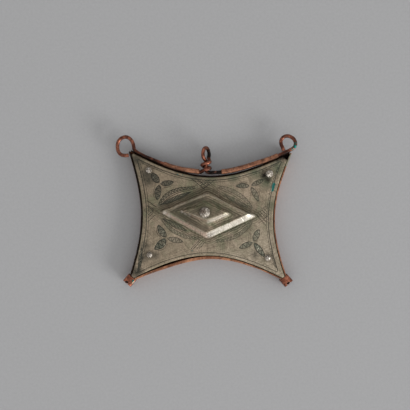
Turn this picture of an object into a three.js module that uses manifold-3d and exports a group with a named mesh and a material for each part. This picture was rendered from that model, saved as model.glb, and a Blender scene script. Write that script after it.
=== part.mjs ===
// Amulet case pendant of copper and nickel silver sheet, in millimetres.
// It lies on its back: +Z points out of the decorated face and +Y towards the
// edge with the three suspension eyes. The origin is on the resting face, in
// the middle of the back plate.

import * as THREE from 'three';
import { mergeVertices } from 'three/addons/utils/BufferGeometryUtils.js';
import { ConvexGeometry } from 'three/addons/geometries/ConvexGeometry.js';
import Module from 'manifold-3d';

const wasm = await Module();
wasm.setup();

// Outline of the front cover: four nominal tips joined by edges that bow inwards.
const upperSpan = 79.6; // tip to tip along the upper edge
const lowerSpan = 77.8; // tip to tip along the lower edge
const upperShift = 0.4; // middle of the upper edge, right of the origin
const lowerShift = -0.7; // middle of the lower edge
const tipRise = 63.5; // lower tips to upper tips
const tipDrop = 32.15; // origin down to the lower tips
const upperTilt = 0.7; // the upper right tip lies this much below the left one
const topBow = 12.3; // depth of each edge's bow below the line between its tips
const rightBow = 7.4;
const bottomBow = 12.1;
const leftBow = 6.1;
const longReach = 0.4; // curve handles as a share of the edge: more makes straighter ends
const sideReach = 0.4;
const upperTipCut = 1.0; // blunt upper ends of the cover, back from the nominal tips
const upperWallEnd = 0.8; // the walls' upper ends, past the nominal tips

// Sheet metal and heights.
const backSheet = 0.8;
const wallSheet = 0.6;
const coverSheet = 0.6;
const coverGap = 0.4; // cover skirt to the walls round it
const seatGap = 0.3; // between curved pieces that seat on each other
const rimHeight = 7.2; // top of the side and lower walls
const upperWallHeight = 5.0; // the upper wall stops below the wire that lies along it
const coverHeight = 8.2; // flat face of the cover
const lowerFlare = 0.7; // outward lean of the lower rim's left half
const flareSteps = 5; // layers that the leaning strip is bent in
const flareMiddle = 0.27; // where along the lower edge the lean is greatest
const flareWidth = 0.24; // half the length of the leaning stretch, as a share of the edge

// Stepped lozenge beaten up out of the cover, as half diagonals and rises.
const lozengeTurn = THREE.MathUtils.degToRad(-2.7);
const lozengeSteps = [
  { x: -1.5, y: 1.0, foot: [24.5, 11.4], ridge: [20.9, 9.2], rise: 2.0 },
  { x: -1.85, y: 1.4, foot: [14.8, 6.7], ridge: [10.8, 3.9], rise: 1.8 },
];

// Studs, riveted through the cover. Insets are from the nominal tips.
const centreStud = { x: -2.35, y: 1.5, radius: 2.6, dome: 1.9, shank: 0.8 };
const cornerStud = { radius: 1.55, dome: 1.4, shank: 0.55 };
const largerCornerStud = { radius: 1.9, dome: 1.6, shank: 0.55 }; // the upper right one
const studInsets = {
  top_left: [9.0, 9.0],
  top_right: [10.2, 10.05],
  bottom_left: [9.6, 12.5],
  bottom_right: [9.0, 11.0],
};
const shankGap = 0.15;
const peenRim = 0.5; // how far a peened tail spreads past its shank
const peenHeight = 0.5;
const domeRings = 6;
const studSides = 24;

// Suspension wire with its eyes, and the sleeves rolled round it.
const wireRadius = 0.9;
const sleeveRadius = 1.35;
const sleeveSheet = 0.25;
const sleeveSeam = 0.5; // half the angle of the open seam, in radians
const leftSleeveShares = [0.18, 0.42]; // where each sleeve lies along the upper edge
const rightSleeveShares = [0.585, 0.945];
const wireSpread = 2.5; // wire to cover edge past the middle, where it stands off most
const spreadShares = [0.2, 0.42, 0.78, 0.95]; // where it leaves the edge and comes back
const sleevedShares = [0.02, 0.16, 0.95, 1]; // where the wire clears the edge by a sleeve
const leftRunShares = [0.06, 0.43]; // wire between the eyes
const leftRunSteps = 9;
const rightRunShares = [0.53, 0.96];
const rightRunSteps = 11;
const neckShare = 0.47; // where the middle eye stands along the upper edge, from the right
const neckX = -1.75; // neck of the middle eye
const neckLength = 5.0;
const wrapPitch = 3.1;
const wrapRise = 1.4; // first wrap above the wire that leads to the right
const wrapGap = 0.2; // between the neck and the wire wound round it
const eyeHalfWidth = 3.3;
const eyeRise = 9.1; // middle of the eye above the wire at its foot
const eyeTilt = THREE.MathUtils.degToRad(62); // the middle eye stands nearly on edge
const wrapStart = 125; // degrees round the neck, down to a full turn past the front
const eyeStart = -30; // degrees round the eye, from its right foot to its left one
const eyeEnd = 210;
const turnStep = 30; // degrees between the points of the wire's turns
const wireSteps = 190;

// Rolled ferrules on the lower tips, outer size across and up.
const ferruleWidth = 5.6;
const ferruleHeight = 6.2;
const ferruleLength = 4.2;
const ferruleInset = 1.4; // the ferrules start this far before the nominal tips
const ferruleSheet = 0.4;
const ferruleCoilGap = 0.08;
const ferruleTurns = 1.3;
const ferruleSeam = THREE.MathUtils.degToRad(162); // where the rolled strip starts
const ferruleSquareness = 0.42; // 1 is an oval, less is squarer
const ferruleMiddle = 4.2; // height of the ferrule's middle above the resting face
const tailHeight = 3.0; // wall tails that the ferrules clasp
const tailEnd = 2.1; // tails run this far past the nominal tip

// Folded paper charm inside the case.
const charmLength = 44;
const charmDepth = 28;
const charmLayers = 4;
const charmPaper = 0.45;
const charmFoldGap = 0.12;

const wireHeight = upperWallHeight + seatGap + sleeveRadius;
const wallInner = coverGap;
const wallOuter = coverGap + wallSheet;
const edgeSteps = 40;

const copper = { color: 0xb5794f, roughness: 0.45, metalness: 0.9 };
const darkCopper = { color: 0x8e5a3c, roughness: 0.5, metalness: 0.9 };
const nickelSilver = { color: 0xa39c86, roughness: 0.5, metalness: 0.85 };
const silver = { color: 0xd8d4cc, roughness: 0.35, metalness: 0.9 };
const paper = { color: 0xcbb98f, roughness: 0.95, metalness: 0 };

const lowerTipY = -tipDrop;
const upperTipY = tipRise - tipDrop;
const lowerTipCut = ferruleInset + seatGap;
const tips = {
  topLeft: new THREE.Vector2(upperShift - upperSpan / 2, upperTipY + upperTilt / 2),
  topRight: new THREE.Vector2(upperShift + upperSpan / 2, upperTipY - upperTilt / 2),
  bottomRight: new THREE.Vector2(lowerShift + lowerSpan / 2, lowerTipY),
  bottomLeft: new THREE.Vector2(lowerShift - lowerSpan / 2, lowerTipY),
};

// One edge of the cover, travelled anticlockwise so that the inside is on its left.
function bowedEdge(from, to, bow, reach) {
  const chord = to.clone().sub(from);
  const inward = new THREE.Vector2(-chord.y, chord.x).normalize();
  const handle = inward.multiplyScalar((bow * 4) / 3);
  const leave = from.clone().addScaledVector(chord, reach).add(handle);
  const arrive = to.clone().addScaledVector(chord, -reach).add(handle);
  return new THREE.CubicBezierCurve(from, leave, arrive, to);
}

const edges = {
  bottom: bowedEdge(tips.bottomLeft, tips.bottomRight, bottomBow, longReach),
  right: bowedEdge(tips.bottomRight, tips.topRight, rightBow, sideReach),
  top: bowedEdge(tips.topRight, tips.topLeft, topBow, longReach),
  left: bowedEdge(tips.topLeft, tips.bottomLeft, leftBow, sideReach),
};

// A point beside an edge, a distance outwards from it.
function beside(edge, share, distance) {
  const tangent = edge.getTangent(share);
  const outward = new THREE.Vector2(tangent.y, -tangent.x);
  return edge.getPoint(share).addScaledVector(outward, distance);
}

// The edge moved outwards, run on straight past both ends by a given length.
function movedEdge(edge, distance, runOn) {
  const points = [];
  if (runOn > 0) {
    points.push(beside(edge, 0, distance).addScaledVector(edge.getTangent(0), -runOn));
  }
  for (let step = 0; step <= edgeSteps; step += 1) {
    points.push(beside(edge, step / edgeSteps, distance));
  }
  if (runOn > 0) {
    points.push(beside(edge, 1, distance).addScaledVector(edge.getTangent(1), runOn));
  }
  return points;
}

// A corner's nominal tip, the way out along its diagonal and half its angle.
function corner(before, after) {
  const back = before.getTangent(1).negate();
  const on = after.getTangent(0);
  return {
    tip: after.getPoint(0),
    outward: back.clone().add(on).normalize().negate(),
    halfAngle: Math.acos(back.dot(on)) / 2,
  };
}

const corners = {
  bottomLeft: corner(edges.left, edges.bottom),
  bottomRight: corner(edges.bottom, edges.right),
  topRight: corner(edges.right, edges.top),
  topLeft: corner(edges.top, edges.left),
};

// The part of a polygon on the near side of a line through a point, square to a direction.
function clip(polygon, point, direction) {
  const kept = [];
  polygon.forEach((here, index) => {
    const next = polygon[(index + 1) % polygon.length];
    const depthHere = here.clone().sub(point).dot(direction);
    const depthNext = next.clone().sub(point).dot(direction);
    if (depthHere <= 0) {
      kept.push(here);
    }
    if (depthHere < 0 !== depthNext < 0) {
      kept.push(here.clone().lerp(next, depthHere / (depthHere - depthNext)));
    }
  });
  return kept;
}

// Cuts a polygon square across a corner's diagonal, a distance past its nominal tip.
function cutCorner(polygon, at, distance) {
  return clip(polygon, at.tip.clone().addScaledVector(at.outward, distance), at.outward);
}

// The whole outline at a distance outside the cover, blunt at each corner.
function outline(distance, upperCut, lowerCut) {
  let polygon = Object.values(edges).flatMap((edge, index, all) => {
    const at = corner(edge, all[(index + 1) % all.length]);
    const mitre = at.tip.clone().addScaledVector(at.outward, distance / Math.sin(at.halfAngle));
    return [...movedEdge(edge, distance, 0).slice(1, -1), mitre];
  });
  polygon = cutCorner(polygon, corners.topLeft, upperCut);
  polygon = cutCorner(polygon, corners.topRight, upperCut);
  polygon = cutCorner(polygon, corners.bottomLeft, lowerCut);
  return cutCorner(polygon, corners.bottomRight, lowerCut);
}

// A polygon raised between two heights.
function prism(polygon, low, high, steps = 1) {
  const shape = new THREE.Shape(polygon);
  const options = { depth: high - low, steps, bevelEnabled: false };
  return new THREE.ExtrudeGeometry(shape, options).translate(0, 0, low);
}

function toManifold(geometry) {
  const bare = geometry.clone();
  bare.deleteAttribute('normal');
  bare.deleteAttribute('uv');
  const merged = mergeVertices(bare, 1e-4);
  const numProp = 3;
  const vertProperties = new Float32Array(merged.attributes.position.array);
  const triVerts = new Uint32Array(merged.index.array);
  return new wasm.Manifold(new wasm.Mesh({ numProp, vertProperties, triVerts }));
}

function fromManifold(solid) {
  const { vertProperties, triVerts } = solid.getMesh();
  const geometry = new THREE.BufferGeometry();
  geometry.setAttribute('position', new THREE.BufferAttribute(vertProperties, 3));
  geometry.setIndex(new THREE.BufferAttribute(triVerts, 1));
  geometry.computeVertexNormals();
  return geometry;
}

function join(...geometries) {
  const solids = geometries.map(toManifold);
  return fromManifold(solids.reduce((sum, solid) => sum.add(solid)));
}

function subtract(geometry, ...tools) {
  const solid = tools.map(toManifold).reduce((rest, tool) => rest.subtract(tool), toManifold(geometry));
  return fromManifold(solid);
}

function piece(name, geometry, look) {
  const mesh = new THREE.Mesh(geometry, new THREE.MeshStandardMaterial(look));
  mesh.name = name;
  return mesh;
}

// Back plate, as wide as the outer faces of the walls.
function backPlate() {
  return piece('back_plate', prism(outline(wallOuter, upperWallEnd, -lowerTipCut), 0, backSheet), copper);
}

// Plan of a wall strip beside one edge, run on past the tips and then mitred with half
// the seat gap at each end.
function stripPlan(edge, start, end) {
  const runOn = 4 * wallOuter;
  const inner = movedEdge(edge, wallInner, runOn);
  const outer = movedEdge(edge, wallOuter, runOn);
  let plan = [...outer, ...inner.reverse()];
  const middle = edge.getPoint(0.5);
  [start, end].forEach((at) => {
    const across = new THREE.Vector2(-at.outward.y, at.outward.x);
    const side = Math.sign(middle.clone().sub(at.tip).dot(across));
    const away = across.multiplyScalar(-side);
    plan = clip(plan, at.tip.clone().addScaledVector(away, -seatGap / 2), away);
  });
  return plan;
}

// The space that a ferrule takes from a wall: its tail there is cut down in height.
function ferruleSpace(at, low, high) {
  const across = new THREE.Vector2(-at.outward.y, at.outward.x).multiplyScalar(ferruleWidth);
  const near = at.tip.clone().addScaledVector(at.outward, -lowerTipCut);
  const far = near.clone().addScaledVector(at.outward, 2 * ferruleLength);
  const plan = [near.clone().sub(across), far.clone().sub(across), far.add(across), near.add(across)];
  return prism(plan, low, high);
}

function ferruleSpaces(at) {
  const low = ferruleMiddle - tailHeight / 2;
  return [ferruleSpace(at, backSheet - 1, low), ferruleSpace(at, low + tailHeight, rimHeight + 1)];
}

// The lower rim leans outwards along part of its length, most at its top.
function leanOutwards(geometry, edge) {
  const position = geometry.attributes.position;
  const chord = edge.getPoint(1).sub(edge.getPoint(0));
  const length = chord.length();
  const along = chord.clone().normalize();
  const outward = new THREE.Vector2(along.y, -along.x);
  for (let index = 0; index < position.count; index += 1) {
    const here = new THREE.Vector2(position.getX(index), position.getY(index));
    const share = here.clone().sub(edge.getPoint(0)).dot(along) / length;
    const off = Math.min(1, Math.abs(share - flareMiddle) / flareWidth);
    const rise = (position.getZ(index) - backSheet) / (rimHeight - backSheet);
    const lean = lowerFlare * Math.cos((off * Math.PI) / 2) ** 2 * rise ** 2;
    here.addScaledVector(outward, lean);
    position.setXY(index, here.x, here.y);
  }
  return geometry;
}

function sideWall(name, edge, upper, lower) {
  const plan = stripPlan(edge, upper, lower);
  const ended = cutCorner(cutCorner(plan, lower, tailEnd), upper, upperWallEnd);
  return piece(name, subtract(prism(ended, backSheet, rimHeight), ...ferruleSpaces(lower)), copper);
}

function lowerWall() {
  const { bottomLeft, bottomRight } = corners;
  const plan = stripPlan(edges.bottom, bottomLeft, bottomRight);
  const ended = cutCorner(cutCorner(plan, bottomLeft, tailEnd), bottomRight, tailEnd);
  const leaning = leanOutwards(prism(ended, backSheet, rimHeight, flareSteps), edges.bottom);
  const spaces = [...ferruleSpaces(bottomLeft), ...ferruleSpaces(bottomRight)];
  return piece('wall_bottom', subtract(leaning, ...spaces), copper);
}

function upperWall() {
  const { topLeft, topRight } = corners;
  const plan = stripPlan(edges.top, topRight, topLeft);
  const blunt = cutCorner(cutCorner(plan, topLeft, upperWallEnd), topRight, upperWallEnd);
  return piece('wall_top', prism(blunt, backSheet, upperWallHeight), darkCopper);
}

function inradiusOf([long, short]) {
  return (long * short) / Math.hypot(long, short);
}

// A lozenge of half diagonals, drawn in by a distance square to its sides.
function lozenge(step, halves, drawnIn, height) {
  const [long, short] = halves;
  const scale = 1 - drawnIn / inradiusOf(halves);
  const centre = new THREE.Vector3(step.x, step.y, height);
  const axis = new THREE.Vector3(0, 0, 1);
  const diagonals = [[long, 0], [0, short], [-long, 0], [0, -short]];
  return diagonals.map(([x, y]) => {
    const place = new THREE.Vector3(x * scale, y * scale, 0);
    return place.applyAxisAngle(axis, lozengeTurn).add(centre);
  });
}

// The raised lozenge, for the outer face or, drawn in by the sheet, for the inner one.
function lozengeSolids(drop) {
  let base = coverHeight;
  return lozengeSteps.map((step) => {
    const run = inradiusOf(step.foot) - inradiusOf(step.ridge);
    const drawnIn = drop * Math.tan(Math.atan2(step.rise, run) / 2);
    const foot = base - drop;
    const root = foot - coverSheet / 2;
    base += step.rise;
    return new ConvexGeometry([
      ...lozenge(step, step.foot, drawnIn, root),
      ...lozenge(step, step.foot, drawnIn, foot),
      ...lozenge(step, step.ridge, drawnIn, base - drop),
    ]);
  });
}

const lozengeTop = coverHeight + lozengeSteps.reduce((sum, step) => sum + step.rise, 0);

function studPlaces() {
  const { topLeft, topRight, bottomLeft, bottomRight } = tips;
  const inset = (tip, [x, y]) => [tip.x - Math.sign(tip.x) * x, tip.y - Math.sign(tip.y) * y];
  return {
    top_left: inset(topLeft, studInsets.top_left),
    top_right: inset(topRight, studInsets.top_right),
    bottom_left: inset(bottomLeft, studInsets.bottom_left),
    bottom_right: inset(bottomRight, studInsets.bottom_right),
  };
}

function shankHole(x, y, shank, height) {
  const drill = new THREE.CylinderGeometry(shank + shankGap, shank + shankGap, 4 * coverSheet, studSides);
  return drill.rotateX(Math.PI / 2).translate(x, y, height - coverSheet / 2);
}

// Front cover: a tray of thin sheet, open below, with the hollow lozenge on its face.
function frontCover() {
  const outer = prism(outline(0, -upperTipCut, -lowerTipCut), backSheet, coverHeight);
  const innerPlan = outline(-coverSheet, -upperTipCut - coverSheet, -lowerTipCut - coverSheet);
  const inner = prism(innerPlan, backSheet - 1, coverHeight - coverSheet);
  const holes = Object.values(studPlaces()).map(([x, y]) => shankHole(x, y, cornerStud.shank, coverHeight));
  holes.push(shankHole(centreStud.x, centreStud.y, centreStud.shank, lozengeTop));
  const raised = join(outer, ...lozengeSolids(0));
  return piece('front_cover', subtract(raised, inner, ...lozengeSolids(coverSheet), ...holes), nickelSilver);
}

// A domed rivet seated at z = 0 on sheet, its tail peened over below.
function stud(name, { radius, dome, shank }, x, y, z) {
  const tailZ = -coverSheet - peenHeight;
  const profile = [new THREE.Vector2(0, tailZ), new THREE.Vector2(shank, tailZ)];
  profile.push(new THREE.Vector2(shank + peenRim, -coverSheet - peenHeight / 2));
  profile.push(new THREE.Vector2(shank + peenRim, -coverSheet));
  profile.push(new THREE.Vector2(shank, -coverSheet));
  profile.push(new THREE.Vector2(shank, 0), new THREE.Vector2(radius, 0));
  for (let ring = 1; ring < domeRings; ring += 1) {
    const angle = (ring / domeRings) * (Math.PI / 2);
    profile.push(new THREE.Vector2(radius * Math.cos(angle), dome * Math.sin(angle)));
  }
  profile.push(new THREE.Vector2(0, dome));
  const mesh = piece(name, new THREE.LatheGeometry(profile, studSides).rotateX(Math.PI / 2), silver);
  mesh.position.set(x, y, z);
  return mesh;
}

// Rises from 0 to 1, stays there and falls again, between four marks.
function plateau(share, [rise, high, fall, low]) {
  const { smoothstep } = THREE.MathUtils;
  return smoothstep(share, rise, high) * (1 - smoothstep(share, fall, low));
}

// How far the wire lies from the cover's edge, by its place along the upper edge.
function wireOffset(share) {
  const { lerp } = THREE.MathUtils;
  const sleeved = lerp(sleeveRadius + seatGap, wireSpread, plateau(share, spreadShares));
  return lerp(wireRadius + seatGap, sleeved, plateau(share, sleevedShares));
}

// Points of the wire along the upper edge, from left to right.
function wireRun([from, to], steps) {
  return Array.from({ length: steps + 1 }, (_, index) => {
    const share = THREE.MathUtils.lerp(from, to, index / steps);
    const place = beside(edges.top, 1 - share, wireOffset(share));
    return new THREE.Vector3(place.x, place.y, wireHeight);
  });
}

// Flat corner eyes, as places from the tip that they turn round, tail first on the left.
function cornerEye(tip, places) {
  return places.map(([x, y]) => new THREE.Vector3(tip.x + x, tip.y + y, wireHeight));
}

function leftEye() {
  const places = [[-1.1, -1.45], [-3.3, -1.6], [-5.1, -1.1], [-6.35, 0.5], [-6.75, 3.0], [-6.35, 5.3]];
  places.push([-4.85, 7.0], [-2.6, 7.7], [-0.6, 6.85], [0.8, 5.0], [1.4, 2.8], [1.75, 1.2]);
  return cornerEye(tips.topLeft, places);
}

function rightEye() {
  const places = [[-0.1, 1.7], [1.7, 2.7], [2.95, 4.5], [2.5, 6.8], [0.9, 8.3], [-1.1, 8.9]];
  places.push([-3.1, 8.3], [-4.25, 6.7], [-4.2, 4.7], [-3.5, 3.05], [-3.15, 2.27]);
  return cornerEye(tips.topRight, places);
}

// The middle eye: the wire winds up round its own neck, loops over and comes down it.
function middleEye() {
  const foot = beside(edges.top, neckShare, wireSpread).y;
  const place = (x, y, z) => new THREE.Vector3(neckX + x, foot + y, wireHeight + z);
  const points = [];
  const wrapRadius = 2 * wireRadius + wrapGap;
  for (let degrees = wrapStart; degrees >= -360; degrees -= turnStep) {
    const angle = THREE.MathUtils.degToRad(degrees);
    const y = wrapRise + (wrapPitch * (90 - degrees)) / 360;
    points.push(place(wrapRadius * Math.cos(angle), y, wrapRadius * Math.sin(angle)));
  }
  const wrapEnd = wrapRise + (wrapPitch * (90 + 360)) / 360;
  points.push(place(wrapRadius - 0.3, wrapEnd + 0.8, -2 * wireRadius));
  for (let degrees = eyeStart; degrees <= eyeEnd; degrees += turnStep) {
    const angle = THREE.MathUtils.degToRad(degrees);
    const across = eyeHalfWidth * Math.cos(angle);
    const y = eyeRise + eyeHalfWidth * Math.sin(angle);
    points.push(place(across * Math.cos(eyeTilt), y, -across * Math.sin(eyeTilt)));
  }
  points.push(place(-0.15, neckLength + 0.8, 0.3));
  points.push(place(0, neckLength, 0));
  points.push(place(0, wrapRise + 0.5, 0));
  points.push(place(0.25, 0.7, 0));
  points.push(place(1.2, 0, 0));
  return points;
}

function suspensionWire() {
  const leftRun = wireRun(leftRunShares, leftRunSteps);
  const rightRun = wireRun(rightRunShares, rightRunSteps);
  const route = [...leftEye(), ...leftRun, ...middleEye(), ...rightRun, ...rightEye()];
  const path = new THREE.CatmullRomCurve3(route, false, 'centripetal');
  const section = new THREE.Shape();
  section.absarc(0, 0, wireRadius, 0, 2 * Math.PI);
  const options = { curveSegments: 5, steps: wireSteps, bevelEnabled: false, extrudePath: path };
  return piece('suspension_wire', new THREE.ExtrudeGeometry(section, options), darkCopper);
}

// A tube of thin sheet rolled round the wire, its seam turned towards the case.
function sleeve(name, shares) {
  const seam = -Math.PI / 2;
  const section = new THREE.Shape();
  section.absarc(0, 0, sleeveRadius, seam + sleeveSeam, seam + 2 * Math.PI - sleeveSeam, false);
  section.absarc(0, 0, sleeveRadius - sleeveSheet, seam + 2 * Math.PI - sleeveSeam, seam + sleeveSeam, true);
  const steps = Math.max(6, Math.round((shares[1] - shares[0]) * edgeSteps));
  const path = new THREE.CatmullRomCurve3(wireRun(shares, steps), false, 'centripetal');
  const options = { curveSegments: 6, steps: steps * 2, bevelEnabled: false, extrudePath: path };
  return piece(name, new THREE.ExtrudeGeometry(section, options), copper);
}

// A strip rolled into a squarish coil round the wall tails of one lower corner.
function ferrule(name, at) {
  const growth = ferruleSheet + ferruleCoilGap;
  const steps = 64;
  const squared = (value) => Math.sign(value) * Math.abs(value) ** ferruleSquareness;
  const coil = (share, inward) => {
    const angle = ferruleSeam + share * ferruleTurns * 2 * Math.PI;
    const shrink = (1 - share) * ferruleTurns * growth + inward;
    const x = squared(Math.cos(angle)) * (ferruleWidth / 2 - shrink);
    const y = squared(Math.sin(angle)) * (ferruleHeight / 2 - shrink);
    return new THREE.Vector2(x, y);
  };
  const shares = Array.from({ length: steps + 1 }, (_, index) => index / steps);
  const outside = shares.map((share) => coil(share, 0));
  const inside = shares.map((share) => coil(share, ferruleSheet)).reverse();
  const shape = new THREE.Shape([...outside, ...inside]);
  const options = { depth: ferruleLength, bevelEnabled: false };
  const geometry = new THREE.ExtrudeGeometry(shape, options).rotateX(Math.PI / 2);
  const mesh = piece(name, geometry, copper);
  const start = at.tip.clone().addScaledVector(at.outward, -ferruleInset);
  mesh.position.set(start.x, start.y, ferruleMiddle);
  mesh.rotation.z = Math.atan2(at.outward.y, at.outward.x) + Math.PI / 2;
  return mesh;
}

// A charm on paper, folded to and fro into a flat packet with its folds along X.
function charmPacket() {
  const pitch = charmPaper + charmFoldGap;
  const inner = charmFoldGap / 2;
  const outer = inner + charmPaper;
  const fold = charmDepth / 2 - outer;
  const left = [new THREE.Vector2(-fold, charmPaper)];
  const right = [new THREE.Vector2(-fold, 0)];
  const turns = 6;
  for (let layer = 0; layer < charmLayers - 1; layer += 1) {
    const side = layer % 2 === 0 ? 1 : -1;
    const middle = new THREE.Vector2(side * fold, (charmPaper + pitch) / 2 + layer * pitch);
    for (let turn = 0; turn <= turns; turn += 1) {
      const angle = (turn / turns - 0.5) * Math.PI;
      const way = new THREE.Vector2(side * Math.cos(angle), Math.sin(angle));
      left.push(middle.clone().addScaledVector(way, side > 0 ? inner : outer));
      right.push(middle.clone().addScaledVector(way, side > 0 ? outer : inner));
    }
  }
  const lastSide = charmLayers % 2 === 1 ? 1 : -1;
  const top = (charmLayers - 1) * pitch;
  left.push(new THREE.Vector2(lastSide * fold, top + (lastSide > 0 ? charmPaper : 0)));
  right.push(new THREE.Vector2(lastSide * fold, top + (lastSide > 0 ? 0 : charmPaper)));
  const shape = new THREE.Shape([...left, ...right.reverse()]);
  const geometry = new THREE.ExtrudeGeometry(shape, { depth: charmLength, bevelEnabled: false });
  geometry.rotateX(Math.PI / 2).rotateZ(Math.PI / 2);
  const mesh = piece('charm_packet', geometry, paper);
  mesh.position.set(-charmLength / 2, 0, backSheet);
  return mesh;
}

const tray = new THREE.Group();
tray.add(backPlate());
tray.add(sideWall('wall_left', edges.left, corners.topLeft, corners.bottomLeft));
tray.add(sideWall('wall_right', edges.right, corners.topRight, corners.bottomRight));
tray.add(lowerWall());
tray.add(upperWall());
tray.add(suspensionWire());
tray.add(sleeve('sleeve_left', leftSleeveShares));
tray.add(sleeve('sleeve_right', rightSleeveShares));
tray.add(ferrule('ferrule_left', corners.bottomLeft));
tray.add(ferrule('ferrule_right', corners.bottomRight));
tray.add(charmPacket());

const cover = new THREE.Group();
cover.add(frontCover());
cover.add(stud('centre_stud', centreStud, centreStud.x, centreStud.y, lozengeTop));
Object.entries(studPlaces()).forEach(([place, [x, y]]) => {
  const form = place === 'top_right' ? largerCornerStud : cornerStud;
  cover.add(stud(`stud_${place}`, form, x, y, coverHeight));
});

const model = new THREE.Group();
model.add(tray, cover);

export default model;
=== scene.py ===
import math

import bmesh
import bpy
import numpy as np
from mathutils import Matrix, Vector, kdtree, noise
from mathutils.geometry import delaunay_2d_cdt


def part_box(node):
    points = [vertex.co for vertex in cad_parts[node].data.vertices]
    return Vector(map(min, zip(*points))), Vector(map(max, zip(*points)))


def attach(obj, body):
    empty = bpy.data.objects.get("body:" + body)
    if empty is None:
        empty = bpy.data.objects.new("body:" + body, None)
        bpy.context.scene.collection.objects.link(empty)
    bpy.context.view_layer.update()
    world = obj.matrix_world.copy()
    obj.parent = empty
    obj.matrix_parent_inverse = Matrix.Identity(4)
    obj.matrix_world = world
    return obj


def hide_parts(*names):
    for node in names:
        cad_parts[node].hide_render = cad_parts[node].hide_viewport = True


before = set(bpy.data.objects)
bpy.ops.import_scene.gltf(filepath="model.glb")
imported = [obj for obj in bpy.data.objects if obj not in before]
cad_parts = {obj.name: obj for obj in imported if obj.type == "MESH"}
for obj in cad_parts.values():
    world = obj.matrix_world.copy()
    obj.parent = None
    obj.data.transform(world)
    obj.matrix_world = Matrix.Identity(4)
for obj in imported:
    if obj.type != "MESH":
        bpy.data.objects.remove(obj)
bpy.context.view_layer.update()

# The back plate is a flat sheet of copper with four bowed sides, the floor of the case.
# It was cut with snips and hammered flat, so it is slightly uneven, brown with age and
# brighter where its edge has rubbed on cloth.
MM = 0.001
EVENLY = (0.3, 0.7, 0, 1)
VERDIGRIS = "#1F6760"
# Near black for painted shade, and a pale grey for pale spots and for a painted highlight.
SHADE_BLACK = "#17110E"
PALE_GREY = "#98947F"
WELDED = 0.02
ALMOST_FLAT = math.radians(1)
SHARP = math.radians(40)
DENT_SEED = 5

# Vector noise takes its seed from the clock unless it is given one, and then the dents of
# the sheet pieces would differ in each run.
noise.seed_set(DENT_SEED)


def linear(hex_colour):
    """An sRGB hex colour as the linear colour that a shader takes."""
    parts = [int(hex_colour[at : at + 2], 16) / 255 for at in (1, 3, 5)]
    return (*[p / 12.92 if p <= 0.04045 else ((p + 0.055) / 1.055) ** 2.4 for p in parts], 1)


def add(tree, kind, inputs=None, out=0, **settings):
    """Adds one node with its settings and what goes into it, and gives one of its outputs."""
    node = tree.nodes.new(kind)
    for name, value in settings.items():
        setattr(node, name, value)
    for socket, value in (inputs or {}).items():
        if isinstance(value, bpy.types.NodeSocket):
            tree.links.new(value, node.inputs[socket])
        else:
            node.inputs[socket].default_value = value
    return node.outputs[out] if node.outputs else None


def patches(tree, place, size, marks=EVENLY, detail=4.0, distortion=0.0, shift=0.0):
    """Cloudy patches of about one size in millimetres. The marks are the two levels of the
    cloud between which the value goes from the third number to the fourth."""
    moved = add(tree, "ShaderNodeMapping", {"Vector": place, "Location": (shift, shift, shift)})
    inputs = {"Vector": moved, "Scale": 1 / (size * MM), "Detail": detail, "Roughness": 0.6}
    cloud = add(tree, "ShaderNodeTexNoise", inputs | {"Distortion": distortion})
    return add(tree, "ShaderNodeMapRange", {0: cloud, **dict(enumerate(marks, 1))})


def scratches(tree, place, angle, shift, marks=EVENLY):
    """Fine wear lines about 0.4 mm apart and 12 mm long, lying at one angle."""
    stretch = {"Vector": place, "Location": (shift, shift, 0), "Rotation": (0, 0, angle)}
    stretch["Scale"] = (12 * MM, 0.4 * MM, 12 * MM)
    stretched = add(tree, "ShaderNodeMapping", stretch, vector_type="TEXTURE")
    inputs = {"Vector": stretched, "Scale": 1.0, "Detail": 2.0, "Roughness": 0.5}
    lines = add(tree, "ShaderNodeTexNoise", inputs)
    return add(tree, "ShaderNodeMapRange", {0: lines, **dict(enumerate(marks, 1))})


def carried(tree, name, marks=(0, 1, 0, 1)):
    """A value that the mesh carries, between two marks."""
    value = add(tree, "ShaderNodeAttribute", None, "Fac", attribute_name=name)
    return add(tree, "ShaderNodeMapRange", {0: value, **dict(enumerate(marks, 1))})


def summed(tree, base, *parts):
    """Patterns added to a base, each times its share."""
    for pattern, share in parts:
        inputs = {0: pattern, 1: share, 2: base}
        base = add(tree, "ShaderNodeMath", inputs, operation="MULTIPLY_ADD")
    return base


def laid_over(tree, colour, *layers):
    """Tints over a colour, each followed by the masks and shares that let it show."""
    for tint, share, *masks in layers:
        for mask in masks:
            share = add(tree, "ShaderNodeMath", {0: share, 1: mask}, operation="MULTIPLY")
        inputs = {0: share, 6: colour, 7: linear(tint)}
        colour = add(tree, "ShaderNodeMix", inputs, 2, data_type="RGBA")
    return colour


def crusts_and_painted_spots(tree, place, colour, tint, spots, blur=0.2):
    """Crusts, stains and spots of painted light and shade, of one tint, each given by its middle and its
    size in millimetres. They reach 0.4 to 0.9 of the size from the middle, with ragged or blurred edges."""
    ragged = patches(tree, place, 0.9)
    for *middle, size in spots:
        inputs = {0: place, 1: [part * MM for part in middle]}
        off = add(tree, "ShaderNodeVectorMath", inputs, "Value", operation="DISTANCE")
        reach = summed(tree, 0.4 * size * MM, (ragged, 0.5 * size * MM), (off, -1.0))
        spot_mask = add(tree, "ShaderNodeMapRange", {0: reach, 1: -blur * MM, 2: blur * MM})
        colour = laid_over(tree, colour, (tint, spot_mask))
    return colour


def named_material(name):
    """A material with an empty tree, and the object's own coordinates in it."""
    material = bpy.data.materials.new(name)
    material.use_nodes = True
    tree = material.node_tree
    tree.nodes.clear()
    return material, tree, add(tree, "ShaderNodeTexCoord", None, "Object")


def surface(tree, colour, metallic, roughness, height, depth):
    """The metal or paper itself, with its relief in millimetres."""
    bump = add(tree, "ShaderNodeBump", {"Distance": depth * MM, "Height": height})
    inputs = {"Base Color": colour, "Metallic": metallic, "Roughness": roughness, "Normal": bump}
    add(tree, "ShaderNodeOutputMaterial", {0: add(tree, "ShaderNodeBsdfPrincipled", inputs)})


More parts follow.
